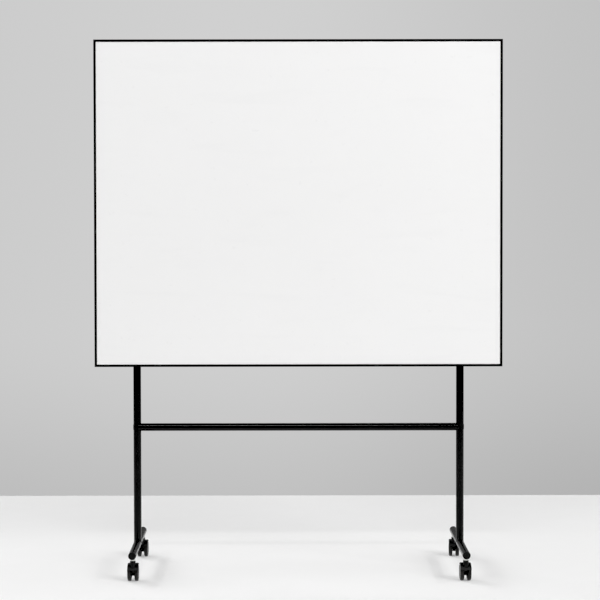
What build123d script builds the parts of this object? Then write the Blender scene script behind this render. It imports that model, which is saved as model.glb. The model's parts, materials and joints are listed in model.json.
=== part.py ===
"""A rolling whiteboard: a double-sided board in a thin frame, on a tube stand with four braked casters.

Millimetres. The origin is on the floor, under the centre of the board.
+X runs along the board's width, +Y points away from the side it is seen from, and +Z is up.
"""
from build123d import *
import math
import os

# ---- board ----
BOARD_WIDTH = 1507.0
BOARD_HEIGHT = 1207.0
BOARD_TOP = 1960.0
FRAME_FACE = 8.5            # width of the frame as it is seen from the front
FRAME_DEPTH = 24.0
SHEET_THICKNESS = 0.7
CORE_THICKNESS = 19.4
SLOT_WIDTH = 19.6           # groove that takes the core's edge
SLOT_DEPTH = 3.2
KEY_WIDTH = 13.8            # angle keys that join the frame's corners
KEY_THICKNESS = 2.8
KEY_ARM = 62.0
KEY_SCREW_INSET = 34.0
CHAMBER_WIDTH = 14.2        # channel that takes the angle keys
CHAMBER_HEIGHT = 3.0
FRAME_SKIN = 1.3            # wall between the channel and the outside
FRAME_CORNER = 0.6          # radius along the profile's outer edges
MOUTH_WIDTH = 6.0           # way from the core's groove into the key channel
HOLLOW_WIDTH = 2.4          # small hollows that lighten the profile's two faces
HOLLOW_OFFSET = 9.6
MITRE_GAP = 0.1             # each profile stops this far from the mitre line
PANEL_GAP = 0.3             # between the core's edge and the bottom of its groove
BLOCK_WIDTH = 60.0
BLOCK_HEIGHT = 95.0

# ---- stand ----
TUBE_RADIUS = 14.0
TUBE_WALL = 2.0
POST_SPACING = 1195.0
CROSSBAR_HEIGHT = 528.5
FOOT_LENGTH = 500.0
FOOT_HEIGHT = 98.0          # height of the foot tube's axis
CAP_FLANGE = 4.0
CAP_DEPTH = 16.0
SPIGOT_LENGTH = 80.0
BOLT_CLEARANCE = 5.25       # hole for the long bolts that hold the board
BORE_FIT = 0.05             # radial clearance of what slides into a tube or a bore

# ---- casters ----
STEM_OFFSET = 220.0         # from the post to a caster's stem, along the foot
TRAIL = 18.0                # from the stem's axis back to the wheels' axle
WHEEL_RADIUS = 30.0
WHEEL_WIDTH = 13.5
WHEEL_GAP = 12.0            # between a caster's two wheels
HOOD_INSIDE = 31.2          # radius of the hood's inner face about the axle
HOOD_OUTSIDE = 33.4
WEB_WIDTH = 11.0            # the hood's middle wall, between the wheels
AXLE_RADIUS = 4.0
NECK_RADIUS = 10.0
NECK_TOP = 75.6
NUT_HEIGHT = 8.0
STEM_RADIUS = 5.5
STEM_THREAD = 4.9
LEVER_ANGLE = 52.0          # direction of the brake lever's pin, seen from the axle
LEVER_RADIUS = 34.4
LEVER_PIN = 1.9

BOARD_BOTTOM = BOARD_TOP - BOARD_HEIGHT
BOARD_CENTRE = BOARD_TOP - BOARD_HEIGHT / 2
CORE_INSET = FRAME_FACE - SLOT_DEPTH + PANEL_GAP
KEY_MIDDLE = FRAME_SKIN + CHAMBER_HEIGHT / 2
TUBE_INSIDE = TUBE_RADIUS - TUBE_WALL
POST_TOP = BOARD_BOTTOM - 0.2
POST_X = POST_SPACING / 2
HOOD_WIDTH = WHEEL_GAP + 2 * WHEEL_WIDTH

os.makedirs("parts", exist_ok=True)


def save(builder, name):
    """Label a finished piece and write it under its own name."""
    builder.part.label = name
    export_step(builder.part, f"parts/{name}.step")


# ======================================================================
# Board
# ======================================================================


def frame_profile(name, outer_edge, along, inward, length, post_holes):
    """One mitred length of the extruded frame.

    outer_edge is the middle of the profile's outer edge, along its run and inward the way to the board.
    """
    section = Plane(origin=outer_edge, x_dir=inward, z_dir=along)
    face = Plane(origin=outer_edge, x_dir=along, z_dir=(0, 1, 0))
    mouth_height = FRAME_FACE - SLOT_DEPTH - KEY_MIDDLE + 1.0
    with BuildPart() as profile:
        with BuildSketch(section):
            with Locations((FRAME_FACE / 2, 0)):
                RectangleRounded(FRAME_FACE, FRAME_DEPTH, FRAME_CORNER)
            with Locations((FRAME_FACE - SLOT_DEPTH / 2, 0)):
                Rectangle(SLOT_DEPTH, SLOT_WIDTH, mode=Mode.SUBTRACT)
            with Locations((KEY_MIDDLE, 0)):
                Rectangle(CHAMBER_HEIGHT, CHAMBER_WIDTH, mode=Mode.SUBTRACT)
            with Locations((KEY_MIDDLE + mouth_height / 2, 0)):
                Rectangle(mouth_height, MOUTH_WIDTH, mode=Mode.SUBTRACT)
            with Locations((KEY_MIDDLE, HOLLOW_OFFSET), (KEY_MIDDLE, -HOLLOW_OFFSET)):
                Rectangle(CHAMBER_HEIGHT, HOLLOW_WIDTH, mode=Mode.SUBTRACT)
        extrude(amount=length / 2, both=True)
        with BuildSketch(face):
            end = length / 2 - MITRE_GAP
            with BuildLine():
                Polyline(
                    (-end, 0),
                    (end, 0),
                    (end - FRAME_FACE, FRAME_FACE),
                    (FRAME_FACE - end, FRAME_FACE),
                    close=True,
                )
            make_face()
        extrude(amount=FRAME_DEPTH, both=True, mode=Mode.INTERSECT)
        if post_holes:
            with BuildSketch(Plane.XY.offset(BOARD_BOTTOM)):
                with Locations((-POST_X, 0), (POST_X, 0)):
                    Circle(BOLT_CLEARANCE)
            extrude(amount=FRAME_FACE, mode=Mode.SUBTRACT)
    save(profile, name)


HALF_WIDTH = BOARD_WIDTH / 2
frame_profile("frame_top", (0, 0, BOARD_TOP), (1, 0, 0), (0, 0, -1), BOARD_WIDTH, False)
frame_profile("frame_bottom", (0, 0, BOARD_BOTTOM), (-1, 0, 0), (0, 0, 1), BOARD_WIDTH, True)
frame_profile("frame_left", (-HALF_WIDTH, 0, BOARD_CENTRE), (0, 0, 1), (1, 0, 0), BOARD_HEIGHT, False)
frame_profile("frame_right", (HALF_WIDTH, 0, BOARD_CENTRE), (0, 0, -1), (-1, 0, 0), BOARD_HEIGHT, False)

# The writing sheets fill the opening of the frame, a little behind its front edge.
SHEET_INSET = 2 * (FRAME_FACE + PANEL_GAP)
for name, side in (("front_writing_sheet", -1), ("rear_writing_sheet", 1)):
    sheet_plane = Plane(
        origin=(0, side * CORE_THICKNESS / 2, BOARD_CENTRE), x_dir=(1, 0, 0), z_dir=(0, side, 0)
    )
    with BuildPart() as sheet:
        with BuildSketch(sheet_plane):
            Rectangle(BOARD_WIDTH - SHEET_INSET, BOARD_HEIGHT - SHEET_INSET)
        extrude(amount=SHEET_THICKNESS)
    save(sheet, name)

# The core's edges run into the frame's groove, and two pockets take the mounting blocks.
CORE_BOTTOM = BOARD_BOTTOM + CORE_INSET
with BuildPart() as core_panel:
    with BuildSketch(Plane.XZ):
        with Locations((0, BOARD_CENTRE)):
            Rectangle(BOARD_WIDTH - 2 * CORE_INSET, BOARD_HEIGHT - 2 * CORE_INSET)
        with Locations((-POST_X, CORE_BOTTOM + BLOCK_HEIGHT / 2), (POST_X, CORE_BOTTOM + BLOCK_HEIGHT / 2)):
            Rectangle(BLOCK_WIDTH, BLOCK_HEIGHT, mode=Mode.SUBTRACT)
    extrude(amount=CORE_THICKNESS / 2, both=True)
save(core_panel, "core_panel")

# Angle keys: an L of flat bar in each corner, with a tapped hole in each arm.
GRUB_RADIUS = 2.0
with BuildPart() as corner_keys:
    for sx in (-1, 1):
        for sz, edge in ((-1, BOARD_BOTTOM), (1, BOARD_TOP)):
            corner_x = sx * (HALF_WIDTH - KEY_MIDDLE + KEY_THICKNESS / 2)
            corner_z = edge - sz * (KEY_MIDDLE - KEY_THICKNESS / 2)
            arm_x = corner_x - sx * KEY_ARM
            arm_z = corner_z - sz * KEY_ARM
            inner_x = corner_x - sx * KEY_THICKNESS
            inner_z = corner_z - sz * KEY_THICKNESS
            screw_x = sx * (HALF_WIDTH - KEY_SCREW_INSET)
            screw_z = edge - sz * KEY_SCREW_INSET
            with BuildSketch(Plane.XZ):
                with BuildLine():
                    Polyline(
                        (corner_x, corner_z),
                        (arm_x, corner_z),
                        (arm_x, inner_z),
                        (inner_x, inner_z),
                        (inner_x, arm_z),
                        (corner_x, arm_z),
                        close=True,
                    )
                make_face()
            extrude(amount=KEY_WIDTH / 2, both=True)
            with BuildSketch(Plane.XY.offset(edge)):
                with Locations((screw_x, 0)):
                    Circle(GRUB_RADIUS + BORE_FIT)
            extrude(amount=FRAME_FACE, both=True, mode=Mode.SUBTRACT)
            with BuildSketch(Plane.YZ.offset(sx * HALF_WIDTH)):
                with Locations((0, screw_z)):
                    Circle(GRUB_RADIUS + BORE_FIT)
            extrude(amount=FRAME_FACE, both=True, mode=Mode.SUBTRACT)
save(corner_keys, "corner_keys")

# Grub screws: each presses its key inwards by bearing on the profile's outer wall.
SCREW_TIP = FRAME_SKIN + BORE_FIT
SCREW_LENGTH = 4.0
GRUB_SOCKET = 1.15
with BuildPart() as corner_key_screws:
    for sx in (-1, 1):
        for sz, edge in ((-1, BOARD_BOTTOM), (1, BOARD_TOP)):
            along_z = Plane(
                origin=(sx * (HALF_WIDTH - KEY_SCREW_INSET), 0, edge - sz * SCREW_TIP), z_dir=(0, 0, -sz)
            )
            along_x = Plane(
                origin=(sx * (HALF_WIDTH - SCREW_TIP), 0, edge - sz * KEY_SCREW_INSET), z_dir=(-sx, 0, 0)
            )
            for screw_plane in (along_z, along_x):
                with BuildSketch(screw_plane):
                    Circle(GRUB_RADIUS)
                extrude(amount=SCREW_LENGTH)
                with BuildSketch(screw_plane.offset(SCREW_LENGTH)):
                    RegularPolygon(GRUB_SOCKET, 6)
                extrude(amount=-SCREW_LENGTH / 2, mode=Mode.SUBTRACT)
save(corner_key_screws, "corner_key_screws")

# ======================================================================
# Joint between board and stand
# ======================================================================
BOLT_RADIUS = 4.9
BOLT_LENGTH = 118.0
BOLT_HEAD = 10.0
BOLT_HEAD_RADIUS = 8.0
HEAD_RECESS = BOLT_HEAD + 2.0
HEAD_SEAT = BOARD_BOTTOM - SPIGOT_LENGTH + HEAD_RECESS
BOLT_SOCKET = 4.6           # corner radius of the hexagon recess in the head
BLOCK_HOLE_DEPTH = 50.0
LOCK_THREAD = 2.9           # radius of the screws that lock the posts to the spigots
LOCK_HEIGHTS = (BOARD_BOTTOM - 20.0, BOARD_BOTTOM - 55.0)

for side, sx in (("left", -1), ("right", 1)):
    with BuildPart() as mounting_block:
        with BuildSketch(Plane.XY.offset(CORE_BOTTOM)):
            with Locations((sx * POST_X, 0)):
                Rectangle(BLOCK_WIDTH, CORE_THICKNESS)
        extrude(amount=BLOCK_HEIGHT)
        with BuildSketch(Plane.XY.offset(CORE_BOTTOM)):
            with Locations((sx * POST_X, 0)):
                Circle(BOLT_RADIUS + BORE_FIT)
        extrude(amount=BLOCK_HOLE_DEPTH, mode=Mode.SUBTRACT)
    save(mounting_block, f"mounting_block_{side}")

    with BuildPart() as spigot:
        with BuildSketch(Plane.XY.offset(BOARD_BOTTOM - SPIGOT_LENGTH)):
            with Locations((sx * POST_X, 0)):
                Circle(TUBE_INSIDE - BORE_FIT)
        extrude(amount=SPIGOT_LENGTH)
        chamfer(spigot.edges().group_by(Axis.Z)[0], 1.5)
        with BuildSketch(Plane.XY.offset(BOARD_BOTTOM - SPIGOT_LENGTH)):
            with Locations((sx * POST_X, 0)):
                Circle(BOLT_CLEARANCE)
        extrude(amount=SPIGOT_LENGTH, mode=Mode.SUBTRACT)
        with BuildSketch(Plane.XY.offset(HEAD_SEAT)):
            with Locations((sx * POST_X, 0)):
                Circle(BOLT_HEAD_RADIUS + 0.4)
        extrude(amount=-HEAD_RECESS, mode=Mode.SUBTRACT)
        with BuildSketch(Plane.XZ):
            with Locations(*[(sx * POST_X, height) for height in LOCK_HEIGHTS]):
                Circle(LOCK_THREAD + 2 * BORE_FIT)
        extrude(amount=-TUBE_RADIUS, mode=Mode.SUBTRACT)
    save(spigot, f"spigot_{side}")

# Long socket-head bolts, up through the spigots into the mounting blocks.
with BuildPart() as spigot_bolts:
    for sx in (-1, 1):
        with BuildSketch(Plane.XY.offset(HEAD_SEAT)):
            with Locations((sx * POST_X, 0)):
                Circle(BOLT_RADIUS)
        extrude(amount=BOLT_LENGTH)
        with BuildSketch(Plane.XY.offset(HEAD_SEAT)):
            with Locations((sx * POST_X, 0)):
                Circle(BOLT_HEAD_RADIUS)
        extrude(amount=-BOLT_HEAD)
        with BuildSketch(Plane.XY.offset(HEAD_SEAT - BOLT_HEAD)):
            with Locations((sx * POST_X, 0)):
                RegularPolygon(BOLT_SOCKET, 6)
        extrude(amount=BOLT_HEAD / 2, mode=Mode.SUBTRACT)
save(spigot_bolts, "spigot_bolts")

# Button-head screws behind the posts. Their threads stop short of the long bolts.
LOCK_REACH = 5.6            # from the post's axis to the tip of the thread
BUTTON_RADIUS = 5.25
BUTTON_FLAT = 2.4
BUTTON_HEIGHT = 3.1
BUTTON_RIM = 0.6
LOCK_SOCKET = 2.2
with BuildPart() as spigot_lock_screws:
    for sx in (-1, 1):
        for height in LOCK_HEIGHTS:
            head_plane = Plane(
                origin=(sx * POST_X, TUBE_RADIUS, height), x_dir=(1, 0, 0), z_dir=(0, 1, 0)
            )
            button_profile = Plane(origin=head_plane.origin, x_dir=(1, 0, 0), z_dir=(0, 0, 1))
            with BuildSketch(button_profile):
                with BuildLine():
                    Line((0, 0), (BUTTON_RADIUS, 0))
                    Line((BUTTON_RADIUS, 0), (BUTTON_RADIUS, BUTTON_RIM))
                    RadiusArc((BUTTON_RADIUS, BUTTON_RIM), (BUTTON_FLAT, BUTTON_HEIGHT), -BUTTON_RADIUS)
                    Line((BUTTON_FLAT, BUTTON_HEIGHT), (0, BUTTON_HEIGHT))
                    Line((0, BUTTON_HEIGHT), (0, 0))
                make_face()
            revolve(axis=Axis(head_plane.origin, (0, 1, 0)))
            with BuildSketch(head_plane):
                Circle(LOCK_THREAD)
            extrude(amount=LOCK_REACH - TUBE_RADIUS)
            with BuildSketch(head_plane.offset(BUTTON_HEIGHT)):
                RegularPolygon(LOCK_SOCKET, 6)
            extrude(amount=-BUTTON_HEIGHT * 2 / 3, mode=Mode.SUBTRACT)
save(spigot_lock_screws, "spigot_lock_screws")

# ======================================================================
# Stand
# ======================================================================
ACCESS_RADIUS = 7.5
CROSSBAR_BOLT = 4.0
SCREW_CLEARANCE = 4.3
WASHER_THICKNESS = 2.0
BAR_HEAD = 8.0
BAR_HEAD_RADIUS = 6.5
BAR_SOCKET = 3.45
BAR_BOLT_LENGTH = 30.0

for side, sx in (("left", -1), ("right", 1)):
    inner_face = Plane(origin=(sx * POST_X, 0, CROSSBAR_HEIGHT), x_dir=(0, 1, 0), z_dir=(-sx, 0, 0))
    outer_face = Plane(origin=(sx * POST_X, 0, CROSSBAR_HEIGHT), x_dir=(0, 1, 0), z_dir=(sx, 0, 0))
    with BuildPart() as post:
        with BuildSketch(Plane.XY.offset(FOOT_HEIGHT)):
            with Locations((sx * POST_X, 0)):
                Circle(TUBE_RADIUS)
                Circle(TUBE_INSIDE, mode=Mode.SUBTRACT)
        extrude(amount=POST_TOP - FOOT_HEIGHT)
        # The lower end is coped to sit on the foot tube.
        with BuildSketch(Plane.XZ):
            with Locations((sx * POST_X, FOOT_HEIGHT)):
                Circle(TUBE_RADIUS)
        extrude(amount=2 * TUBE_RADIUS, both=True, mode=Mode.SUBTRACT)
        with BuildSketch(Plane.XZ):
            with Locations(*[(sx * POST_X, height) for height in LOCK_HEIGHTS]):
                Circle(LOCK_THREAD + 0.3)
        extrude(amount=-2 * TUBE_RADIUS, mode=Mode.SUBTRACT)
        with BuildSketch(inner_face):
            Circle(SCREW_CLEARANCE)
        extrude(amount=2 * TUBE_RADIUS, mode=Mode.SUBTRACT)
        with BuildSketch(outer_face):
            Circle(ACCESS_RADIUS)
        extrude(amount=2 * TUBE_RADIUS, mode=Mode.SUBTRACT)
    save(post, f"post_{side}")

# The crossbar's ends are coped around the posts.
BAR_END = 0.02              # the coped ends stop this far from the posts
with BuildPart() as crossbar:
    with BuildSketch(Plane.YZ):
        with Locations((0, CROSSBAR_HEIGHT)):
            Circle(TUBE_RADIUS)
            Circle(TUBE_INSIDE, mode=Mode.SUBTRACT)
    extrude(amount=POST_X, both=True)
    with BuildSketch(Plane.XY.offset(CROSSBAR_HEIGHT)):
        with Locations((-POST_X, 0), (POST_X, 0)):
            Circle(TUBE_RADIUS + BAR_END)
    extrude(amount=2 * TUBE_RADIUS, both=True, mode=Mode.SUBTRACT)
save(crossbar, "crossbar")

# Threaded plugs pressed into the crossbar's ends, just inside the coping.
PLUG_FACE = POST_X - TUBE_RADIUS - 1.5
PLUG_LENGTH = 24.0
with BuildPart() as crossbar_plugs:
    for sx in (-1, 1):
        plug_plane = Plane(origin=(sx * PLUG_FACE, 0, CROSSBAR_HEIGHT), z_dir=(-sx, 0, 0))
        with BuildSketch(plug_plane):
            Circle(TUBE_INSIDE - BORE_FIT)
            Circle(CROSSBAR_BOLT + BORE_FIT, mode=Mode.SUBTRACT)
        extrude(amount=PLUG_LENGTH)
save(crossbar_plugs, "crossbar_plugs")

# Saddle washers: flat for the bolt's head, curved to lie inside the post's wall.
WASHER_SEAT = 8.6           # from the post's axis to the washer's flat back
WASHER_HALF = 7.0
with BuildPart() as crossbar_washers:
    for sx in (-1, 1):
        inner_face = Plane(origin=(sx * POST_X, 0, CROSSBAR_HEIGHT), x_dir=(0, 1, 0), z_dir=(-sx, 0, 0))
        with BuildSketch(Plane.XY.offset(CROSSBAR_HEIGHT)):
            with Locations((sx * POST_X, 0)):
                Circle(TUBE_INSIDE - BORE_FIT)
            with Locations((sx * (POST_X - WASHER_SEAT - TUBE_INSIDE / 2), 0)):
                Rectangle(TUBE_INSIDE, 2 * WASHER_HALF, mode=Mode.INTERSECT)
        extrude(amount=WASHER_HALF, both=True)
        with BuildSketch(inner_face):
            Circle(SCREW_CLEARANCE)
        extrude(amount=2 * TUBE_RADIUS, mode=Mode.SUBTRACT)
save(crossbar_washers, "crossbar_washers")

with BuildPart() as crossbar_bolts:
    for sx in (-1, 1):
        seat = Plane(
            origin=(sx * (POST_X - WASHER_SEAT), 0, CROSSBAR_HEIGHT), x_dir=(0, 1, 0), z_dir=(-sx, 0, 0)
        )
        with BuildSketch(seat):
            Circle(CROSSBAR_BOLT)
        extrude(amount=BAR_BOLT_LENGTH)
        with BuildSketch(seat):
            Circle(BAR_HEAD_RADIUS)
        extrude(amount=-BAR_HEAD)
        with BuildSketch(seat.offset(-BAR_HEAD)):
            RegularPolygon(BAR_SOCKET, 6)
        extrude(amount=BAR_HEAD / 2, mode=Mode.SUBTRACT)
save(crossbar_bolts, "crossbar_bolts")

ACCESS_FLANGE = 9.5
ACCESS_DOME = 1.2
SLEEVE_WALL = 1.5
SLEEVE_REACH = 4.0          # how far the plug's sleeve runs inside the tube's wall


def access_plug(sx):
    """A plastic plug for one access hole, its flange curved to lie on the post."""
    outer_face = Plane(origin=(sx * POST_X, 0, CROSSBAR_HEIGHT), x_dir=(0, 1, 0), z_dir=(sx, 0, 0))
    with BuildPart() as plug:
        with BuildSketch(outer_face):
            Circle(ACCESS_FLANGE)
        extrude(amount=TUBE_RADIUS + 2 * ACCESS_DOME)
        with BuildSketch(Plane.XY.offset(CROSSBAR_HEIGHT)):
            with Locations((sx * POST_X, 0)):
                Circle(TUBE_RADIUS + ACCESS_DOME)
                Circle(TUBE_RADIUS + BORE_FIT, mode=Mode.SUBTRACT)
        extrude(amount=TUBE_RADIUS, both=True, mode=Mode.INTERSECT)
        with BuildSketch(outer_face.offset(TUBE_INSIDE - SLEEVE_REACH)):
            Circle(ACCESS_RADIUS - BORE_FIT)
            Circle(ACCESS_RADIUS - SLEEVE_WALL, mode=Mode.SUBTRACT)
        extrude(amount=SLEEVE_REACH + TUBE_WALL + 0.3)
    return plug.part


access_plug_pair = [access_plug(-1), access_plug(1)]
with BuildPart() as access_plugs:
    add(access_plug_pair)
save(access_plugs, "access_plugs")

# ---- feet ----
FOOT_END = FOOT_LENGTH / 2 - CAP_FLANGE
CAP_ROUNDING = 2.0
CAP_SLEEVE = TUBE_INSIDE - 0.4
CAP_SLEEVE_WALL = 1.8
CAP_RIBS = 3
CAP_RIB_PITCH = 4.5
CAP_RIB_WIDTH = 1.5
BUSH_RADIUS = 6.5
BUSH_TOP = FOOT_HEIGHT + 6.0
TUBE_UNDERSIDE = FOOT_HEIGHT - TUBE_RADIUS
STEM_SPOTS = [(sx * POST_X, sy * STEM_OFFSET) for sx in (-1, 1) for sy in (-1, 1)]

for side, sx in (("left", -1), ("right", 1)):
    with BuildPart() as foot:
        with BuildSketch(Plane.XZ):
            with Locations((sx * POST_X, FOOT_HEIGHT)):
                Circle(TUBE_RADIUS)
                Circle(TUBE_INSIDE, mode=Mode.SUBTRACT)
        extrude(amount=FOOT_END, both=True)
        with BuildSketch(Plane.XY.offset(TUBE_UNDERSIDE)):
            with Locations((sx * POST_X, -STEM_OFFSET), (sx * POST_X, STEM_OFFSET)):
                Circle(BUSH_RADIUS + BORE_FIT)
        extrude(amount=TUBE_RADIUS, mode=Mode.SUBTRACT)
    save(foot, f"foot_{side}")

    for end, sy in (("front", -1), ("rear", 1)):
        cap_plane = Plane(origin=(sx * POST_X, sy * FOOT_END, FOOT_HEIGHT), x_dir=(1, 0, 0), z_dir=(0, sy, 0))
        with BuildPart() as end_cap:
            with BuildSketch(cap_plane):
                Circle(TUBE_RADIUS)
            extrude(amount=CAP_FLANGE)
            fillet(end_cap.faces().sort_by(Axis.Y)[0 if sy < 0 else -1].edges(), CAP_ROUNDING)
            with BuildSketch(cap_plane):
                Circle(CAP_SLEEVE)
                Circle(CAP_SLEEVE - CAP_SLEEVE_WALL, mode=Mode.SUBTRACT)
            extrude(amount=-CAP_DEPTH)
            # Thin ribs round the sleeve grip the inside of the tube.
            for rib in range(CAP_RIBS):
                with BuildSketch(cap_plane.offset(-CAP_RIB_PITCH * (rib + 0.7))):
                    Circle(TUBE_INSIDE - BORE_FIT)
                    Circle(CAP_SLEEVE - CAP_SLEEVE_WALL, mode=Mode.SUBTRACT)
                extrude(amount=-CAP_RIB_WIDTH)
        save(end_cap, f"end_cap_{end}_{side}")

# Threaded bushes welded into the feet, and the zinc nuts that lock the stems in them.
with BuildPart() as stem_bushes:
    with BuildSketch(Plane.XY.offset(TUBE_UNDERSIDE)):
        with Locations(*STEM_SPOTS):
            Circle(BUSH_RADIUS)
            Circle(STEM_THREAD + BORE_FIT, mode=Mode.SUBTRACT)
    extrude(amount=BUSH_TOP - TUBE_UNDERSIDE)
save(stem_bushes, "stem_bushes")

NUT_ACROSS_FLATS = 16.0
NUT_BEVEL = 1.0


def stem_nut(spot):
    """A hexagon nut with its corners turned off at both ends."""
    middle = Plane(origin=(spot[0], spot[1], TUBE_UNDERSIDE - NUT_HEIGHT))
    corner_radius = NUT_ACROSS_FLATS / math.sqrt(3)
    bevel_height = 0.6 * NUT_BEVEL
    turned = Plane(origin=middle.origin, x_dir=(1, 0, 0), z_dir=(0, -1, 0))
    with BuildPart() as nut:
        with BuildSketch(middle):
            RegularPolygon(corner_radius, 6)
            Circle(STEM_THREAD + BORE_FIT, mode=Mode.SUBTRACT)
        extrude(amount=NUT_HEIGHT)
        with BuildSketch(turned):
            with BuildLine():
                Polyline(
                    (0, 0),
                    (corner_radius - NUT_BEVEL, 0),
                    (corner_radius, bevel_height),
                    (corner_radius, NUT_HEIGHT - bevel_height),
                    (corner_radius - NUT_BEVEL, NUT_HEIGHT),
                    (0, NUT_HEIGHT),
                    close=True,
                )
            make_face()
        revolve(axis=Axis(middle.origin, (0, 0, 1)), mode=Mode.INTERSECT)
    return nut.part


stem_nut_set = [stem_nut(spot) for spot in STEM_SPOTS]
with BuildPart() as stem_nuts:
    add(stem_nut_set)
save(stem_nuts, "stem_nuts")

# ======================================================================
# Casters
# ======================================================================
STEM_BOTTOM = 46.0
SHANK_BOTTOM = 61.0
PILOT_RADIUS = 3.5
STEM_TOP = FOOT_HEIGHT + 2.0
STEM_CHAMFER = 0.8
CLIP_HEIGHT = 66.0
CLIP_THICKNESS = 1.2
CLIP_GROOVE = 1.8
CLIP_INSIDE = 4.8
CLIP_OPENING = 2.4
GROOVE_RADIUS = 4.5
CLIP_OUTSIDE = 6.6
BOSS_RADIUS = 12.0
KNUCKLE_RADIUS = 3.4
HOOD_EDGE = 1.3             # rounding of the hood's two side edges and of its neck
HOOD_FRONT = 156.0          # directions from the axle in which the hood's front and back edges lie
HOOD_BACK = 62.0
HOOD_WAIST = (9.0, 4.0)     # the hood narrows to this half width, this far under the axle
AXLE_HALF = WHEEL_GAP / 2 + WHEEL_WIDTH - 2.0
LEVER_WIDTH = 33.0
LEVER_EDGE = 0.9
SHOE_RADIUS = 33.2          # the lever's inner face at rest, about the axle
PEDAL_RADIUS = 37.4         # its outer face

# The wheel's half section is (distance from the caster's middle, radius).
WHEEL_IN = WHEEL_GAP / 2
WHEEL_OUT = WHEEL_IN + WHEEL_WIDTH
TREAD_ROUNDING = 4.2
RIM_RADIUS = 22.6           # where the tread meets the hub
DISH = 6.5                  # depth of the hollow on the wheel's inner side
HUB_RADIUS = 9.0
HUB_DOME = 1.2

# name, side of the stand, end of the foot, turn of the caster about its stem
CASTERS = (
    ("front_left", -1, -1, 0.0),
    ("front_right", 1, -1, 1.0),
    ("rear_left", -1, 1, -1.5),
    ("rear_right", 1, 1, -5.0),
)


def polar(angle, radius):
    """A point at this radius from the axle, in the caster's side view (back, up)."""
    return (
        TRAIL + radius * math.cos(math.radians(angle)),
        WHEEL_RADIUS + radius * math.sin(math.radians(angle)),
    )


AXLE_POINT = (TRAIL, WHEEL_RADIUS)
LEVER_PIVOT = polar(LEVER_ANGLE, LEVER_RADIUS)


def turned_wheel(centre, outward):
    """One wheel: its half section runs from the bore round the dish and the tread to the domed hub."""
    shoulder = WHEEL_RADIUS - TREAD_ROUNDING
    hub_end = WHEEL_OUT - HUB_DOME
    bore = AXLE_RADIUS + BORE_FIT
    dome_edge = RIM_RADIUS - 2.5
    dome_radius = (dome_edge**2 + HUB_DOME**2) / (2 * HUB_DOME)
    dome_angle = math.degrees(math.asin(dome_edge / dome_radius))
    with BuildPart() as wheel:
        with BuildSketch(Plane(origin=centre, x_dir=outward, z_dir=outward.cross(Vector(0, 0, 1)))):
            with BuildLine():
                Polyline(
                    (hub_end, 0),
                    (hub_end, bore),
                    (WHEEL_IN + 1.0, bore),
                    (WHEEL_IN + 1.0, HUB_RADIUS - 1.0),
                    (WHEEL_IN + DISH, HUB_RADIUS + 1.0),
                    (WHEEL_IN + DISH, RIM_RADIUS - 1.0),
                    (WHEEL_IN, RIM_RADIUS + 1.0),
                    (WHEEL_IN, shoulder),
                )
                CenterArc((WHEEL_IN + TREAD_ROUNDING, shoulder), TREAD_ROUNDING, 180, -90)
                Line((WHEEL_IN + TREAD_ROUNDING, WHEEL_RADIUS), (WHEEL_OUT - TREAD_ROUNDING, WHEEL_RADIUS))
                CenterArc((WHEEL_OUT - TREAD_ROUNDING, shoulder), TREAD_ROUNDING, 90, -90)
                Polyline(
                    (WHEEL_OUT, shoulder),
                    (WHEEL_OUT, RIM_RADIUS),
                    (hub_end, RIM_RADIUS - 0.6),
                    (hub_end, RIM_RADIUS - 1.6),
                    (WHEEL_OUT, dome_edge),
                )
                CenterArc((WHEEL_OUT + HUB_DOME - dome_radius, 0), dome_radius, 0, dome_angle)
                Line((WHEEL_OUT + HUB_DOME, 0), (hub_end, 0))
            make_face()
        revolve(axis=Axis(centre, outward))
    return wheel


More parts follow.
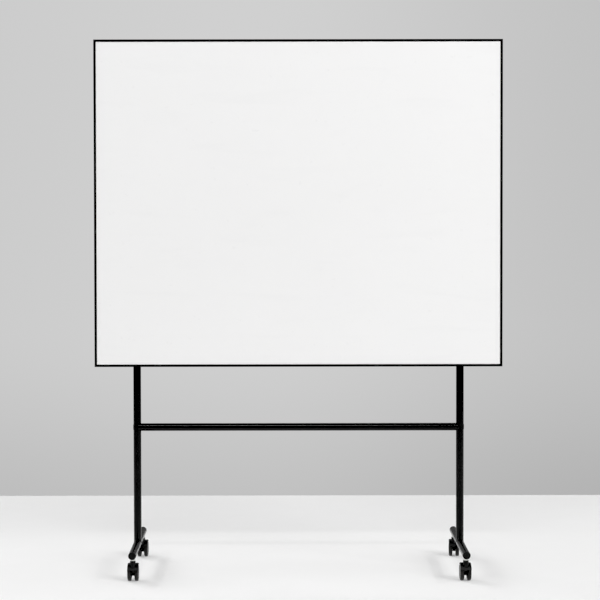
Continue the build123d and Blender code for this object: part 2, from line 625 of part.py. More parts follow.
for name, sx, sy, yaw in CASTERS:
    turn = math.radians(yaw)
    across = Vector(math.cos(turn), math.sin(turn), 0)
    back = Vector(-math.sin(turn), math.cos(turn), 0)
    floor_point = Vector(sx * POST_X, sy * STEM_OFFSET, 0)
    side_view = Plane(origin=floor_point, x_dir=back, z_dir=across)
    axle_centre = floor_point + back * TRAIL + Vector(0, 0, WHEEL_RADIUS)

    def level(height):
        """The caster's horizontal plane at this height, centred on its stem."""
        return Plane(origin=floor_point + Vector(0, 0, height), x_dir=across, z_dir=(0, 0, 1))

    with BuildPart() as stem:
        with BuildSketch(level(NECK_TOP)):
            Circle(STEM_THREAD)
        extrude(amount=STEM_TOP - NECK_TOP)
        with BuildSketch(level(SHANK_BOTTOM)):
            Circle(STEM_RADIUS)
        extrude(amount=NECK_TOP - SHANK_BOTTOM)
        with BuildSketch(level(STEM_BOTTOM + 0.3)):
            Circle(PILOT_RADIUS)
        extrude(amount=SHANK_BOTTOM - STEM_BOTTOM - 0.3)
        with BuildSketch(level(CLIP_HEIGHT - CLIP_GROOVE / 2)):
            Circle(STEM_RADIUS + 1)
            Circle(GROOVE_RADIUS, mode=Mode.SUBTRACT)
        extrude(amount=CLIP_GROOVE, mode=Mode.SUBTRACT)
        chamfer(stem.edges().filter_by(GeomType.CIRCLE).group_by(Axis.Z)[0], STEM_CHAMFER)
        chamfer(stem.edges().filter_by(GeomType.CIRCLE).group_by(Axis.Z)[-1], STEM_CHAMFER)
    save(stem, f"stem_{name}")

    with BuildPart() as stem_clip:
        with BuildSketch(level(CLIP_HEIGHT - CLIP_THICKNESS / 2)):
            Circle(CLIP_OUTSIDE)
            Circle(CLIP_INSIDE, mode=Mode.SUBTRACT)
            with Locations((0, -CLIP_OUTSIDE)):
                Rectangle(CLIP_OPENING, CLIP_OUTSIDE, mode=Mode.SUBTRACT)
        extrude(amount=CLIP_THICKNESS)
    save(stem_clip, f"stem_clip_{name}")

    with BuildPart() as hood:
        # Full-width cover: a disc about the axle, cut down to the part above the wheels.
        with BuildSketch(side_view):
            with Locations(AXLE_POINT):
                Circle(HOOD_OUTSIDE)
            with BuildLine():
                Polyline(
                    (TRAIL - HOOD_WAIST[0], WHEEL_RADIUS - HOOD_WAIST[1]),
                    polar(HOOD_FRONT, 1.2 * HOOD_OUTSIDE),
                    polar(HOOD_FRONT - 20, 2 * HOOD_OUTSIDE),
                    polar(HOOD_BACK + 20, 2 * HOOD_OUTSIDE),
                    polar(HOOD_BACK, 1.2 * HOOD_OUTSIDE),
                    (TRAIL + HOOD_WAIST[0], WHEEL_RADIUS - HOOD_WAIST[1]),
                    close=True,
                )
            make_face(mode=Mode.INTERSECT)
        extrude(amount=HOOD_WIDTH / 2, both=True)
        fillet(hood.edges().filter_by(GeomType.CIRCLE), HOOD_EDGE)
        # The neck round the stem.
        with BuildSketch(level(STEM_BOTTOM + 4)):
            Circle(NECK_RADIUS)
        extrude(amount=NECK_TOP - STEM_BOTTOM - 4)
        fillet(hood.faces().sort_by(Axis.Z)[-1].edges(), HOOD_EDGE)
        # Room for the wheels, which leaves the middle wall.
        for sign in (-1, 1):
            with BuildSketch(side_view.offset(sign * WEB_WIDTH / 2)):
                with Locations(AXLE_POINT):
                    Circle(HOOD_INSIDE)
            extrude(amount=sign * HOOD_WIDTH, mode=Mode.SUBTRACT)
        # Boss for the axle and knuckle for the brake lever's pin.
        with BuildSketch(side_view):
            with Locations(AXLE_POINT):
                Circle(BOSS_RADIUS)
            with Locations(LEVER_PIVOT):
                Circle(KNUCKLE_RADIUS)
            with BuildLine():
                Polyline(
                    polar(HOOD_BACK + 4, 26.0),
                    polar(HOOD_BACK + 4, HOOD_OUTSIDE - 0.2),
                    polar(LEVER_ANGLE, LEVER_RADIUS + 2.8),
                    polar(LEVER_ANGLE - 5.5, LEVER_RADIUS),
                    polar(LEVER_ANGLE - 6, 26.0),
                    close=True,
                )
            make_face()
        extrude(amount=WEB_WIDTH / 2, both=True)
        with BuildSketch(side_view):
            with Locations(AXLE_POINT):
                Circle(AXLE_RADIUS + 0.01)
            with Locations(LEVER_PIVOT):
                Circle(LEVER_PIN + BORE_FIT)
        extrude(amount=HOOD_WIDTH, both=True, mode=Mode.SUBTRACT)
        # Stepped bore for the stem, with a groove for its clip.
        with BuildSketch(level(STEM_BOTTOM)):
            Circle(PILOT_RADIUS + BORE_FIT)
        extrude(amount=NECK_TOP, mode=Mode.SUBTRACT)
        with BuildSketch(level(SHANK_BOTTOM - 0.3)):
            Circle(STEM_RADIUS + BORE_FIT)
        extrude(amount=NECK_TOP, mode=Mode.SUBTRACT)
        with BuildSketch(level(CLIP_HEIGHT - CLIP_THICKNESS / 2)):
            Circle(CLIP_OUTSIDE + BORE_FIT)
        extrude(amount=CLIP_THICKNESS, mode=Mode.SUBTRACT)
    save(hood, f"hood_{name}")

    with BuildPart() as axle:
        with BuildSketch(side_view):
            with Locations(AXLE_POINT):
                Circle(AXLE_RADIUS)
        extrude(amount=AXLE_HALF, both=True)
        chamfer(axle.edges().filter_by(GeomType.CIRCLE), 0.5)
    save(axle, f"axle_{name}")

    for wheel_side, sign in (("left", -1), ("right", 1)):
        save(turned_wheel(axle_centre, across * sign), f"wheel_{name}_{wheel_side}")

    with BuildPart() as brake_lever:
        # Pedal: a curved plate that hangs from the pin, down behind the treads.
        with BuildSketch(side_view):
            with BuildLine():
                Line(polar(LEVER_ANGLE + 2, LEVER_RADIUS - 2.6), polar(LEVER_ANGLE, PEDAL_RADIUS))
                ThreePointArc(polar(LEVER_ANGLE, PEDAL_RADIUS), polar(37, PEDAL_RADIUS), polar(22, PEDAL_RADIUS))
                Line(polar(22, PEDAL_RADIUS), polar(22, SHOE_RADIUS + 0.6))
                ThreePointArc(polar(22, SHOE_RADIUS + 0.6), polar(30, SHOE_RADIUS), polar(38, SHOE_RADIUS))
                Line(polar(38, SHOE_RADIUS), polar(LEVER_ANGLE + 2, LEVER_RADIUS - 2.6))
            make_face()
            with Locations(LEVER_PIVOT):
                Circle(KNUCKLE_RADIUS)
        extrude(amount=LEVER_WIDTH / 2, both=True)
        lip = brake_lever.faces().sort_by(Axis.Z)[0]
        fillet(lip.edges(), LEVER_EDGE)
        # The slot that straddles the hood's knuckle.
        with BuildSketch(side_view):
            with Locations(LEVER_PIVOT):
                Circle(KNUCKLE_RADIUS + 2.6)
        extrude(amount=WEB_WIDTH / 2 + 0.5, both=True, mode=Mode.SUBTRACT)
        with BuildSketch(side_view):
            with Locations(LEVER_PIVOT):
                Circle(LEVER_PIN)
        extrude(amount=LEVER_WIDTH / 2, both=True)
    save(brake_lever, f"brake_lever_{name}")
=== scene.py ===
"""Looks of a rolling whiteboard: materials, weld beads, detailed caster wheels, light and camera.

Everything is in metres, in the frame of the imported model: the board faces -Y and the floor is z = 0.
"""
import json
import math

import bmesh
import bpy
from mathutils import Matrix, Vector


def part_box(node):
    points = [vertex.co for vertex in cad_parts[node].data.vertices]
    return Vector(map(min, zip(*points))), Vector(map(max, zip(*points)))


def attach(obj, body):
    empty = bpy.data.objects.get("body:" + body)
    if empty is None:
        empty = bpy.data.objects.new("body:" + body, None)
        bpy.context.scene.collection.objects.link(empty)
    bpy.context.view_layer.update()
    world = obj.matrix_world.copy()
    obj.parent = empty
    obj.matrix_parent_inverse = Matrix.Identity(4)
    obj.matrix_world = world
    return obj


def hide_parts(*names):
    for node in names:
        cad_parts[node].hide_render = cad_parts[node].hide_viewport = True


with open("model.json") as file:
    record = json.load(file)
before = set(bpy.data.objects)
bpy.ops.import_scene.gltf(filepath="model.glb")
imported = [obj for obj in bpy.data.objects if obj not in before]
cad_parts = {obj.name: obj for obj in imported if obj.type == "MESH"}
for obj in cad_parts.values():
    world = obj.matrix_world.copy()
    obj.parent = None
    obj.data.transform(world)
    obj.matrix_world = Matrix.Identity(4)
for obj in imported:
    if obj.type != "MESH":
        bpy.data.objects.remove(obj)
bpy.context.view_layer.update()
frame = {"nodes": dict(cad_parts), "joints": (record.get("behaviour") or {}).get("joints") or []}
nodes = frame["nodes"]
MM = 0.001                      # millimetres to Blender's metres

CORNERS = ("front_left", "front_right", "rear_left", "rear_right")
JOINTS = {joint["name"]: joint for joint in frame["joints"]}
FOOT_LOW, FOOT_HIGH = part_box("foot_left")
TUBE_RADIUS = (FOOT_HIGH.x - FOOT_LOW.x) / 2
FOOT_AXIS = (FOOT_HIGH.z + FOOT_LOW.z) / 2
BOARD_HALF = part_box("frame_top")[1].x
BOARD_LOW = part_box("frame_bottom")[0].z
BOARD_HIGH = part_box("frame_top")[1].z
FRAME_HALF_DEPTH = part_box("frame_top")[1].y


# ======================================================================
# Shader helpers
# ======================================================================


class Shader:
    """A material's node tree, built up by short calls."""

    def __init__(self, name, **constants):
        self.material = bpy.data.materials.new(name)
        self.material.use_nodes = True
        self.tree = self.material.node_tree
        self.surface = self.tree.nodes["Principled BSDF"]
        for socket, value in constants.items():
            self.surface.inputs[socket.replace("_", " ")].default_value = value
        self.place = self.node("ShaderNodeTexCoord").outputs["Object"]

    def node(self, kind, links=None, **settings):
        """Add a node. links gives its inputs, by name or number, and settings its properties."""
        made = self.tree.nodes.new(kind)
        for key, value in settings.items():
            setattr(made, key, value)
        for socket, value in (links or {}).items():
            self.feed(made.inputs[socket], value)
        return made

    def feed(self, socket, value):
        """Link a socket to the input, or set the input to a constant."""
        if isinstance(value, bpy.types.NodeSocket):
            self.tree.links.new(value, socket)
        else:
            socket.default_value = value

    def math(self, operation, a, b=0.0):
        return self.node("ShaderNodeMath", {0: a, 1: b}, operation=operation).outputs[0]

    def stretched(self, scale):
        """The piece's own coordinates, scaled differently along X, Y and Z."""
        mapping = self.node("ShaderNodeMapping", {"Vector": self.place, "Scale": scale})
        return mapping.outputs[0]

    def noise(self, scale, detail=3.0, roughness=0.5, distortion=0.0, place=None):
        links = {
            "Vector": place or self.place,
            "Scale": scale,
            "Detail": detail,
            "Roughness": roughness,
            "Distortion": distortion,
        }
        return self.node("ShaderNodeTexNoise", links).outputs["Fac"]

    def spread(self, value, low, high, to_low=0.0, to_high=1.0):
        """Map low..high onto to_low..to_high, smoothly and clamped."""
        links = {"Value": value, 1: low, 2: high, 3: to_low, 4: to_high}
        return self.node("ShaderNodeMapRange", links, interpolation_type="SMOOTHSTEP").outputs[0]

    def blend(self, factor, first, second):
        """Mix two colours: all of the first at factor 0, all of the second at 1."""
        mix = self.node("ShaderNodeMix", data_type="RGBA")
        self.feed(mix.inputs[0], factor)
        self.feed(mix.inputs[6], first)
        self.feed(mix.inputs[7], second)
        return mix.outputs[2]

    def axes(self, vector=None):
        """The three components of a vector, by default of the piece's own coordinates."""
        parts = self.node("ShaderNodeSeparateXYZ", {0: vector or self.place})
        return parts.outputs[0], parts.outputs[1], parts.outputs[2]

    def upward(self):
        """How far the surface faces up, from -1 to 1."""
        return self.axes(self.node("ShaderNodeNewGeometry").outputs["Normal"])[2]

    def colour(self, value):
        self.feed(self.surface.inputs["Base Color"], value)

    def painted(self):
        """The colour that is already wired to the surface."""
        return self.surface.inputs["Base Color"].links[0].from_socket

    def roughness(self, value):
        self.feed(self.surface.inputs["Roughness"], value)

    def bump(self, *layers):
        """Each layer is (height, depth in metres). Later layers lie on top of the earlier ones."""
        normal = None
        for height, depth in layers:
            links = {"Height": height, "Distance": depth, "Strength": 1.0}
            if normal is not None:
                links["Normal"] = normal
            normal = self.node("ShaderNodeBump", links).outputs[0]
        self.feed(self.surface.inputs["Normal"], normal)


def grey(value, warmth=0.0):
    """A neutral colour, or one a little warmer or colder than neutral."""
    return (value * (1 + warmth), value, value * (1 - warmth), 1.0)


# ======================================================================
# Materials
# ======================================================================


def enamel():
    """White enamelled steel: glossy, faintly uneven, with the haze that dry wiping leaves."""
    s = Shader("white_enamel", Specular_IOR_Level=0.32, Coat_Weight=0.12, Coat_Roughness=0.15)
    clouds = s.noise(1.1, 2.0)
    strokes = s.noise(3.0, 4.0, 0.55, 0.6, s.stretched((1.0, 1.0, 6.0)))
    haze = s.spread(strokes, 0.52, 0.78)
    base = s.blend(clouds, grey(0.905, 0.002), grey(0.93, 0.001))
    s.colour(s.blend(s.math("MULTIPLY", haze, 0.35), base, grey(0.875)))
    fine = s.noise(60.0, 2.0)
    s.roughness(s.math("ADD", s.spread(haze, 0.0, 1.0, 0.26, 0.36), s.math("MULTIPLY", fine, 0.05)))
    s.bump((s.noise(9.0, 1.0), 0.00006), (s.noise(700.0, 1.0), 0.000004))
    return s


def powder_coat(name, level, rough_low, rough_high, dust):
    """Black powder coat: fine orange peel, uneven sheen, and a little dust on what faces up."""
    s = Shader(name, Specular_IOR_Level=0.3)
    mottled = s.noise(14.0, 4.0, 0.6)
    specks = s.spread(s.noise(420.0, 2.0, 0.7), 0.66, 0.74)
    base = s.blend(mottled, grey(level * 0.7, -0.03), grey(level * 1.4, 0.02))
    lying = s.spread(s.upward(), 0.35, 0.95)
    settled = s.math("MULTIPLY", lying, s.spread(s.noise(38.0, 5.0, 0.65), 0.4, 0.7))
    dusty = s.math("MULTIPLY", settled, dust)
    base = s.blend(dusty, base, grey(0.09, 0.04))
    s.colour(s.blend(s.math("MULTIPLY", specks, 0.1), base, grey(0.04)))
    sheen = s.spread(s.noise(26.0, 3.0), 0.3, 0.7, rough_low, rough_high)
    s.roughness(s.math("ADD", sheen, s.math("MULTIPLY", dusty, 0.4)))
    s.bump((s.noise(260.0, 2.0), 0.00002), (s.noise(1500.0, 1.0), 0.000006))
    return s


def frame_coat():
    """The frame's satin coat, rubbed thin along its long edges."""
    s = powder_coat("black_frame_coat", 0.003, 0.36, 0.46, 0.1)
    x, y, z = s.axes()
    middle = (BOARD_LOW + BOARD_HIGH) / 2
    beside = s.math("SUBTRACT", s.math("ABSOLUTE", x), BOARD_HALF)
    above = s.math("SUBTRACT", s.math("ABSOLUTE", s.math("SUBTRACT", z, middle)), BOARD_HIGH - middle)
    outer = s.spread(s.math("MAXIMUM", beside, above), -0.7 * MM, -0.1 * MM)
    arris = s.spread(s.math("ABSOLUTE", y), FRAME_HALF_DEPTH - 0.7 * MM, FRAME_HALF_DEPTH - 0.1 * MM)
    patches = s.spread(s.noise(31.0, 6.0, 0.7), 0.55, 0.68)
    worn = s.math("MULTIPLY", s.math("MULTIPLY", outer, arris), patches)
    s.colour(s.blend(s.math("MULTIPLY", worn, 0.35), s.painted(), grey(0.1)))
    return s


def moulded(name, level, rough, grain=1.0):
    """Black moulded plastic with a spark-eroded grain."""
    s = Shader(name, Specular_IOR_Level=0.4)
    flow = s.noise(45.0, 3.0, 0.6, 0.8)
    s.colour(s.blend(flow, grey(level * 0.7), grey(level * 1.4, 0.015)))
    s.roughness(s.spread(s.noise(120.0, 3.0), 0.3, 0.7, rough - 0.06, rough + 0.07))
    pits = s.node("ShaderNodeTexVoronoi", {"Vector": s.place, "Scale": 1900.0}).outputs["Distance"]
    s.bump((s.noise(900.0, 2.0), 0.00002 * grain), (pits, 0.000018 * grain))
    return s


def wheel_nylon(name, level, rough, dust):
    """Black wheel nylon, in the wheel's own place: turning lines about its axle, the X axis of the
    piece, and floor dust ground into the running band."""
    s = Shader(name, Specular_IOR_Level=0.4)
    x, y, z = s.axes()
    radius = s.math("SQRT", s.math("ADD", s.math("MULTIPLY", y, y), s.math("MULTIPLY", z, z)))
    rings = s.math("SINE", s.math("MULTIPLY", radius, 9000.0))
    mottled = s.noise(80.0, 4.0, 0.65)
    base = s.blend(mottled, grey(level * 0.7), grey(level * 1.4, 0.02))
    band = s.spread(radius, (WHEEL_RADIUS - 1.8) * MM, (WHEEL_RADIUS - 0.4) * MM)
    ground_in = s.math("MULTIPLY", band, s.spread(s.noise(150.0, 5.0, 0.7), 0.35, 0.7))
    s.colour(s.blend(s.math("MULTIPLY", ground_in, dust), base, grey(0.12, 0.05)))
    sheen = s.spread(mottled, 0.3, 0.7, rough - 0.05, rough + 0.06)
    s.roughness(s.math("ADD", sheen, s.math("MULTIPLY", ground_in, 0.12)))
    s.bump((rings, 0.000004), (s.noise(1300.0, 2.0), 0.000015))
    return s


def bare_metal(name, colour, rough, grain_scale, tint=None):
    """Bright or plated steel and aluminium: drawn grain, a clouded finish and, on zinc, a faint tint."""
    s = Shader(name, Metallic=1.0)
    cloud = s.noise(55.0, 3.0, 0.6)
    darker = tuple(c * 0.86 for c in colour[:3]) + (1.0,)
    base = s.blend(cloud, colour, tint or darker)
    grain = s.noise(1.0, 3.0, 0.6, 0.0, s.stretched(grain_scale))
    s.colour(s.blend(s.math("MULTIPLY", grain, 0.3), base, grey(0.35)))
    drawn = s.spread(grain, 0.3, 0.7, rough - 0.06, rough + 0.08)
    s.roughness(s.math("ADD", drawn, s.math("MULTIPLY", cloud, 0.06)))
    s.bump((grain, 0.000006))
    return s


def honeycomb():
    """Brown paper honeycomb, seen only with the frame taken off."""
    s = Shader("paper_honeycomb", Specular_IOR_Level=0.2)
    cells = s.node("ShaderNodeTexVoronoi", {"Vector": s.place, "Scale": 90.0}, feature="DISTANCE_TO_EDGE")
    walls = s.spread(cells.outputs["Distance"], 0.02, 0.09)
    fibres = s.noise(300.0, 4.0, 0.7, 0.0, s.stretched((1.0, 4.0, 1.0)))
    paper = s.blend(fibres, (0.42, 0.30, 0.18, 1.0), (0.58, 0.44, 0.29, 1.0))
    s.colour(s.blend(walls, (0.25, 0.17, 0.1, 1.0), paper))
    s.roughness(s.spread(fibres, 0.2, 0.8, 0.8, 0.95))
    s.bump((walls, 0.0003), (fibres, 0.00004))
    return s


def paint(names, shader):
    """Give CAD nodes a material, in every slot they have."""
    for name in names:
        slots = nodes[name].data.materials
        if len(slots) == 0:
            slots.append(shader.material)
        for index in range(len(slots)):
            nodes[name].material_slots[index].material = shader.material


def starting(*starts):
    """The CAD nodes whose names begin with any of these."""
    return [name for name in nodes if name.startswith(starts)]


# Wheel sizes, in millimetres.
WHEEL_RADIUS = 30.0
WHEEL_IN = 6.0                  # the wheel's inner and outer face, from the caster's middle
WHEEL_OUT = 19.5
WHEEL_DOME = 1.2                # how far the hub's dome stands out past the outer face
TREAD_ROUNDING = 4.2
RIM_RADIUS = 22.6               # where the tread meets the hub

tube_paint = powder_coat("black_stand_paint", 0.003, 0.18, 0.25, 0.12)
cap_plastic = moulded("black_cap_plastic", 0.003, 0.5)
hood_plastic = moulded("black_hood_nylon", 0.004, 0.52)
lever_plastic = moulded("black_lever_nylon", 0.005, 0.44, 1.3)
tread_nylon = wheel_nylon("black_tread_nylon", 0.005, 0.36, 0.2)
hub_nylon = wheel_nylon("black_hub_nylon", 0.004, 0.32, 0.0)
zinc = bare_metal("bright_zinc", (0.86, 0.87, 0.88, 1.0), 0.5, (40.0, 40.0, 900.0), (0.8, 0.81, 0.74, 1.0))
turned_steel = bare_metal("turned_steel", (0.58, 0.58, 0.59, 1.0), 0.28, (60.0, 700.0, 700.0))
milled_aluminium = bare_metal("milled_aluminium", (0.78, 0.79, 0.8, 1.0), 0.36, (900.0, 60.0, 60.0))
black_oxide = powder_coat("black_oxide", 0.014, 0.3, 0.42, 0.1)

paint(starting("front_writing", "rear_writing"), enamel())
paint(["core_panel"], honeycomb())
paint(starting("frame_"), frame_coat())
paint(starting("post_", "foot_", "crossbar"), tube_paint)
paint(starting("end_cap", "access_plugs"), cap_plastic)
paint(starting("hood_"), hood_plastic)
paint(starting("brake_lever"), lever_plastic)
paint(starting("wheel_"), tread_nylon)
paint(["stem_nuts"], zinc)
paint(starting("mounting_block", "corner_keys"), milled_aluminium)
paint(["spigot_lock_screws", "corner_key_screws"], black_oxide)
plain = starting("stem_bushes", "stem_clip", "axle_", "spigot_left", "spigot_right", "spigot_bolts")
plain += ["crossbar_bolts", "crossbar_washers", "crossbar_plugs"]
plain += [f"stem_{corner}" for corner in CORNERS]
paint(plain, turned_steel)


# ======================================================================
# Pieces
# ======================================================================


def piece(name, mesh, shader, body, smooth_angle=35.0, place=None):
    """Wrap a bmesh as an object that rides on a body, with its sharp edges kept."""
    bmesh.ops.remove_doubles(mesh, verts=mesh.verts, dist=1e-7)
    bmesh.ops.recalc_face_normals(mesh, faces=mesh.faces)
    data = bpy.data.meshes.new(name)
    mesh.to_mesh(data)
    mesh.free()
    data.materials.append(shader.material)
    data.polygons.foreach_set("use_smooth", [True] * len(data.polygons))
    data.set_sharp_from_angle(angle=math.radians(smooth_angle))
    made = bpy.data.objects.new(name, data)
    if place is not None:
        made.matrix_world = place
    bpy.context.scene.collection.objects.link(made)
    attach(made, body)
    return made


def skin(mesh, rings):
    """Join each ring of points to the next with quads, and the last to the first."""
    made = [[mesh.verts.new(point) for point in ring] for ring in rings]
    count = len(made[0])
    for here, there in zip(made, made[1:] + made[:1]):
        for i in range(count):
            j = (i + 1) % count
            mesh.faces.new((here[i], here[j], there[j], there[i]))


def weld_bead(side):
    """The rippled fillet weld along the saddle curve where a post's coped end sits on its foot."""
    low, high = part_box(f"foot_{side}")
    centre = Vector(((low.x + high.x) / 2, 0, FOOT_AXIS))
    steps, around, ripples = 288, 12, 46
    half_width, flatness = 1.75 * MM, 0.62
    rings = []
    for step in range(steps):
        turn = math.tau * step / steps
        radial = Vector((math.cos(turn), math.sin(turn), 0))
        lift = TUBE_RADIUS * abs(radial.y)
        seam = centre + radial * TUBE_RADIUS + Vector((0, 0, lift))
        slope = math.copysign(1.0, radial.y) * radial.x
        along = Vector((-radial.y, radial.x, slope)).normalized()
        outward = (radial + Vector((radial.x, 0, abs(radial.y)))).normalized()
        outward = (outward - along * outward.dot(along)).normalized()
        sideways = along.cross(outward)
        ripple = 1.0 + 0.1 * math.cos(ripples * turn) + 0.05 * math.sin(7 * turn + 0.8)
        bead = half_width * ripple
        ring = []
        for k in range(around):
            angle = math.tau * k / around
            raised = outward * bead * flatness * math.cos(angle)
            ring.append(seam + raised + sideways * bead * math.sin(angle))
        rings.append(ring)
    mesh = bmesh.new()
    skin(mesh, rings)
    piece(f"weld_bead_{side}", mesh, tube_paint, "stand", 60.0)


def arc(centre, radius, start, end, count=7):
    """Points along an arc, in degrees from start to end, with both ends."""
    points = []
    for step in range(count + 1):
        angle = math.radians(start + (end - start) * step / count)
        points.append((centre[0] + radius * math.cos(angle), centre[1] + radius * math.sin(angle)))
    return points


def turned(sections):
    """A ring about the local X axis, from (turn in radians, section) pairs. A section is a closed list
    of (distance along the axle, radius) points in millimetres, as long for every turn."""
    rings = []
    for turn, section in sections:
        across, up = math.sin(turn), math.cos(turn)
        rings.append([Vector((along, radius * across, radius * up)) * MM for along, radius in section])
    mesh = bmesh.new()
    skin(mesh, rings)
    return mesh


def tread():
    """The wheel's running band, with rounded shoulders and a fine parting groove in the middle."""
    bevel, groove, groove_depth = 0.35, 0.35, 0.2
    shoulder = WHEEL_RADIUS - TREAD_ROUNDING
    middle = (WHEEL_IN + WHEEL_OUT) / 2
    section = [(WHEEL_IN + bevel, RIM_RADIUS), (WHEEL_IN, RIM_RADIUS + bevel)]
    section += arc((WHEEL_IN + TREAD_ROUNDING, shoulder), TREAD_ROUNDING, 180, 90)
    section += [
        (middle - groove, WHEEL_RADIUS),
        (middle, WHEEL_RADIUS - groove_depth),
        (middle + groove, WHEEL_RADIUS),
    ]
    section += arc((WHEEL_OUT - TREAD_ROUNDING, shoulder), TREAD_ROUNDING, 90, 0)
    section += [(WHEEL_OUT, RIM_RADIUS + bevel), (WHEEL_OUT - bevel, RIM_RADIUS)]
    steps = 120
    return turned([(math.tau * step / steps, section) for step in range(steps)])


def hub():
    """The wheel's core: ribs in the dish on the inner side, and a domed face with five shallow
    thumb-shaped hollows on the outer side."""
    boss_radius, boss_inset, bevel = 9.0, 1.0, 0.35
    bore, dish, rib_inset = 3.1, 6.5, 1.6
    ribs, rib_half_turn, rib_flank = 9, math.radians(2.6), math.radians(0.5)
    hollows, hollow_depth = 5, 0.75
    dome_edge = RIM_RADIUS - 2.5
    dome_radius = (dome_edge**2 + WHEEL_DOME**2) / (2 * WHEEL_DOME)
    rows = 14
    hollow_start, hollow_length, hollow_sharpness = 7.0, 11.5, 1.5

    def section(turn, floor):
        points = [
            (WHEEL_OUT - WHEEL_DOME - 1.0, 0.0),
            (WHEEL_OUT - WHEEL_DOME - 1.0, bore),
            (WHEEL_IN + boss_inset + 0.4, bore),
            (WHEEL_IN + boss_inset, bore + 0.4),
            (WHEEL_IN + boss_inset, boss_radius - 1.2),
            (WHEEL_IN + boss_inset + 0.4, boss_radius - 0.8),
            (floor, boss_radius),
            (floor, RIM_RADIUS - 1.6),
            (WHEEL_IN + 0.4, RIM_RADIUS - 1.2),
            (WHEEL_IN, RIM_RADIUS - 0.8),
            (WHEEL_IN, RIM_RADIUS - bevel),
            (WHEEL_IN + bevel, RIM_RADIUS),
            (WHEEL_OUT - bevel, RIM_RADIUS),
            (WHEEL_OUT, RIM_RADIUS - bevel),
            (WHEEL_OUT, RIM_RADIUS - 0.9),
            (WHEEL_OUT - WHEEL_DOME, RIM_RADIUS - 1.2),
            (WHEEL_OUT - WHEEL_DOME, RIM_RADIUS - 1.8),
            (WHEEL_OUT - 0.3, dome_edge),
        ]
        for row in range(rows):
            radius = (dome_edge - 0.3) * (1 - row / rows)
            rise = math.sqrt(dome_radius**2 - radius**2) - dome_radius + WHEEL_DOME
            outward = min(max((radius - hollow_start) / hollow_length, 0.0), 1.0)
            along_spoke = math.sin(math.pi * outward) ** 2
            round_hub = max(math.cos(hollows * turn), 0.0) ** hollow_sharpness
            points.append((WHEEL_OUT + rise - hollow_depth * along_spoke * round_hub, radius))
        points.append((WHEEL_OUT + WHEEL_DOME, 0.0))
        return points

    floor_low, floor_high = WHEEL_IN + dish, WHEEL_IN + rib_inset
    reach = math.tau / ribs - 2 * (rib_half_turn + rib_flank)
    between = 12
    sections = []
    for rib in range(ribs):
        middle = math.tau * rib / ribs
        start = middle + rib_half_turn + rib_flank
        for turn in (middle - rib_half_turn, middle, middle + rib_half_turn):
            sections.append((turn, section(turn, floor_high)))
        for step in range(between + 1):
            turn = start + reach * step / between
            sections.append((turn, section(turn, floor_low)))
    return turned(sections)


def wheel(corner, side):
    """Tread and hub of one wheel, on its axle, with local X pointing away from the caster's middle."""
    body = f"wheel_{corner}_{side}"
    joint = JOINTS[f"spin_{corner}_{side}"]
    outward = Vector(joint["axis"]) * (1 if side == "right" else -1)
    angle = math.atan2(outward.y, outward.x)
    place = Matrix.Translation(joint["pos_m"]) @ Matrix.Rotation(angle, 4, "Z")
    piece(f"tread_{corner}_{side}", tread(), tread_nylon, body, 40.0, place)
    core = piece(f"hub_{corner}_{side}", hub(), hub_nylon, body, 30.0, place)
    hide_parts(body)


# The bars on the brake pedals: their directions from the axle, their section and its size at the ends.
PEDAL_FACE = 37.4 * MM
BAR_ANGLES = (27.0, 31.5, 36.0, 40.5, 45.0)
BAR_HEIGHT = 0.45 * MM
BAR_HALF_LENGTH = 12.0 * MM
BAR_HALF_WIDTH = 0.75 * MM
BAR_SHOULDER = ((-1.0, -0.6), (-1.0, 0.4), (-0.7, 0.85), (-0.25, 1.0))
BAR_PROFILE = BAR_SHOULDER + tuple((-sideways, up) for sideways, up in reversed(BAR_SHOULDER))
BAR_ENDS = ((-1.0, 0.55), (-0.96, 1.0), (0.96, 1.0), (1.0, 0.55))


def pedal_grip(corner):
    """Low bars across the brake pedal that stop a shoe from slipping."""
    joint = JOINTS[f"spin_{corner}_left"]
    across = Vector(joint["axis"])
    back = Vector((-across.y, across.x, 0))
    axle = Vector(joint["pos_m"])
    mesh = bmesh.new()
    for angle in BAR_ANGLES:
        radial = back * math.cos(math.radians(angle)) + Vector((0, 0, math.sin(math.radians(angle))))
        around = across.cross(radial).normalized()
        middle = axle + radial * PEDAL_FACE
        ends = []
        for along, scale in BAR_ENDS:
            ring = []
            for sideways, up in BAR_PROFILE:
                offset = around * sideways * BAR_HALF_WIDTH * scale + radial * up * BAR_HEIGHT * scale
                ring.append(mesh.verts.new(middle + across * along * BAR_HALF_LENGTH + offset))
            ends.append(ring)
        for here, there in zip(ends, ends[1:]):
            for i in range(len(BAR_PROFILE)):
                j = (i + 1) % len(BAR_PROFILE)
                mesh.faces.new((here[i], here[j], there[j], there[i]))
        mesh.faces.new(reversed(ends[0]))
        mesh.faces.new(ends[-1])
    piece(f"pedal_grip_{corner}", mesh, lever_plastic, f"brake_lever_{corner}")


for side in ("left", "right"):
    weld_bead(side)
for corner in CORNERS:
    for side in ("left", "right"):
        wheel(corner, side)
    pedal_grip(corner)


# ======================================================================
# Stage
# ======================================================================

WALL_LINE = 1.64                # where the pale floor ends behind the board
FLOOR_REACH = 9.0
BACKDROP_RADIUS = 60.0
BACKDROP_GREY = 0.637
FLOOR_GLOW = 0.295
SHADOW_CUT = 0.018              # light level that the picture shows as black

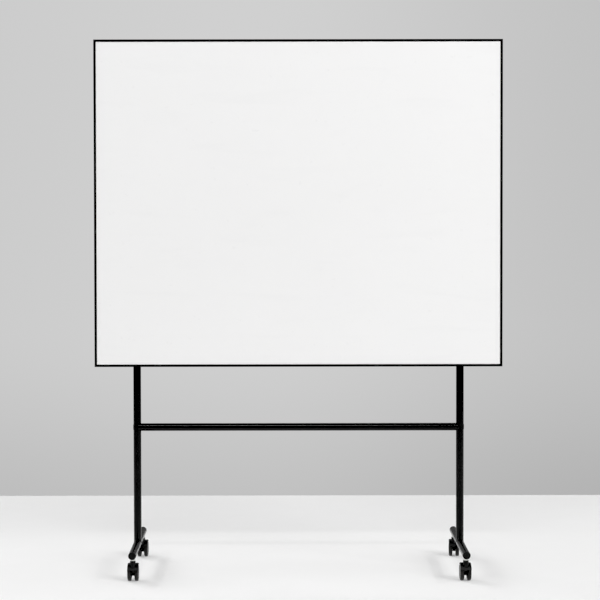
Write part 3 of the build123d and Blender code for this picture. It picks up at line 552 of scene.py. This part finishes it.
# Name, place, what it faces, width, height and power in watts.
BOARD_MIDDLE = (0, 0, 1.2)
BOARD_FOOT = (0, 0, 0.9)
CASTERS = (0, 0, 0.4)
SOFTBOXES = (
    ("front_strip", (-0.25, -5.0, 5.8), BOARD_FOOT, 2.6, 0.42, 108),
    ("rear_strip", (0.2, 3.0, 3.8), BOARD_FOOT, 1.5, 0.25, 12),
    ("left_strip", (-3.4, 0.1, 3.2), CASTERS, 1.5, 0.25, 26),
    ("right_strip", (3.4, 0.1, 3.2), CASTERS, 1.5, 0.25, 26),
    ("left_softbox", (-6.6, -6.1, 6.0), BOARD_MIDDLE, 5.0, 5.0, 205),
    ("right_softbox", (6.3, -6.0, 6.2), BOARD_MIDDLE, 5.0, 5.0, 620),
    ("rear_left_softbox", (-6.3, 6.0, 6.0), BOARD_MIDDLE, 5.0, 5.0, 515),
    ("rear_right_softbox", (6.3, 6.0, 6.0), BOARD_MIDDLE, 5.0, 5.0, 45),
)


def backdrop():
    """A far sphere that only the camera sees: a soft grey glow, with painted shade that makes it darker to
    the right and towards the floor.
    """
    mesh = bmesh.new()
    bmesh.ops.create_uvsphere(mesh, u_segments=64, v_segments=32, radius=BACKDROP_RADIUS)
    bmesh.ops.reverse_faces(mesh, faces=mesh.faces)
    data = bpy.data.meshes.new("backdrop")
    mesh.to_mesh(data)
    mesh.free()
    s = Shader("backdrop_grey")
    x, y, z = s.axes()
    # painted shade: the glow is turned down towards the floor, to the right and to the far left
    low_down = s.spread(z, -12.0, -3.0, -0.115, 0.0)
    to_the_right = s.spread(x, -1.0, 13.0, 0.0, 0.085)
    to_the_left = s.spread(x, -14.0, -2.0, -0.03, 0.0)
    painted_shade = s.math("ADD", s.math("SUBTRACT", low_down, to_the_right), to_the_left)
    level = s.math("ADD", painted_shade, BACKDROP_GREY)
    glow = s.node("ShaderNodeEmission", {"Color": grey(1.0), "Strength": level})
    s.tree.links.new(glow.outputs[0], s.tree.nodes["Material Output"].inputs["Surface"])
    data.materials.append(s.material)
    made = bpy.data.objects.new("backdrop", data)
    bpy.context.scene.collection.objects.link(made)
    made.visible_diffuse = False
    made.visible_glossy = False
    made.visible_transmission = False
    made.visible_shadow = False


def floor():
    """A pale floor, lit from below a little, that ends at the wall line and fades out far away."""
    mesh = bmesh.new()
    edges = ((-FLOOR_REACH, -FLOOR_REACH), (FLOOR_REACH, -FLOOR_REACH))
    edges += ((FLOOR_REACH, WALL_LINE), (-FLOOR_REACH, WALL_LINE))
    mesh.faces.new([mesh.verts.new((x, y, 0)) for x, y in edges])
    data = bpy.data.meshes.new("floor")
    mesh.to_mesh(data)
    mesh.free()
    s = Shader("pale_floor", Specular_IOR_Level=0.1, Emission_Strength=FLOOR_GLOW)
    s.surface.inputs["Emission Color"].default_value = grey(1.0)
    s.colour(s.blend(s.noise(0.8, 2.0), grey(0.56, 0.003), grey(0.6)))
    s.roughness(s.spread(s.noise(6.0, 3.0), 0.3, 0.7, 0.6, 0.75))
    s.bump((s.noise(350.0, 2.0), 0.00003))
    away = s.node("ShaderNodeVectorMath", {0: s.place}, operation="LENGTH").outputs["Value"]
    s.feed(s.surface.inputs["Alpha"], s.spread(away, 4.0, 8.0, 1.0, 0.0))
    data.materials.append(s.material)
    made = bpy.data.objects.new("floor", data)
    bpy.context.scene.collection.objects.link(made)


def softbox(name, spot, target, width, height, power):
    """A rectangular lamp, with its width level, turned to face its target."""
    light = bpy.data.lights.new(name, "AREA")
    light.shape = "RECTANGLE"
    light.size = width
    light.size_y = height
    light.energy = power
    made = bpy.data.objects.new(name, light)
    made.location = spot
    made.rotation_euler = (Vector(target) - Vector(spot)).to_track_quat("-Z", "Y").to_euler()
    bpy.context.scene.collection.objects.link(made)


def studio():
    """The room as the object reflects it: a grey wall behind, brightest near the floor, and a dim room."""
    world = bpy.data.worlds.new("studio")
    bpy.context.scene.world = world
    world.use_nodes = True
    tree = world.node_tree
    direction = tree.nodes.new("ShaderNodeTexCoord").outputs["Generated"]
    parts = tree.nodes.new("ShaderNodeSeparateXYZ")
    tree.links.new(direction, parts.inputs[0])
    behind = tree.nodes.new("ShaderNodeMapRange")
    low = tree.nodes.new("ShaderNodeMapRange")
    levels = (-0.1, 0.6, 0.01, 0.1)
    near_floor = (0.15, 0.5, 2.3, 1.0)
    for node, axis, values in ((behind, 1, levels), (low, 2, near_floor)):
        node.interpolation_type = "SMOOTHSTEP"
        tree.links.new(parts.outputs[axis], node.inputs["Value"])
        for socket, value in enumerate(values, start=1):
            node.inputs[socket].default_value = value
    product = tree.nodes.new("ShaderNodeMath")
    product.operation = "MULTIPLY"
    tree.links.new(behind.outputs[0], product.inputs[0])
    tree.links.new(low.outputs[0], product.inputs[1])
    tree.nodes["Background"].inputs["Color"].default_value = grey(1.0)
    tree.links.new(product.outputs[0], tree.nodes["Background"].inputs["Strength"])


def camera():
    """A long lens at standing height, a little left of the board's middle and turned slightly down."""
    lens = bpy.data.cameras.new("camera")
    lens.lens = 105.65
    lens.sensor_width = 36.0
    lens.shift_x = 0.02767
    lens.shift_y = -0.08538
    lens.clip_end = 200.0
    made = bpy.data.objects.new("camera", lens)
    turn = Matrix.Rotation(math.radians(-0.024), 3, "Z")
    tilt = Matrix.Rotation(math.radians(90 - 1.494), 3, "X")
    roll = Matrix.Rotation(math.radians(-0.0905), 3, "Z")
    made.rotation_euler = (turn @ tilt @ roll).to_euler()
    made.location = (-0.058, -6.5055, 1.3584)
    bpy.context.scene.collection.objects.link(made)
    bpy.context.scene.camera = made


def look():
    """Plain colours, with the deepest shadows taken down to black as a printed picture has them."""
    settings = bpy.context.scene.view_settings
    settings.view_transform = "Standard"
    settings.use_curve_mapping = True
    settings.curve_mapping.black_level = (SHADOW_CUT, SHADOW_CUT, SHADOW_CUT)
    settings.curve_mapping.update()


backdrop()
floor()
for box in SOFTBOXES:
    softbox(*box)
studio()
camera()
look()
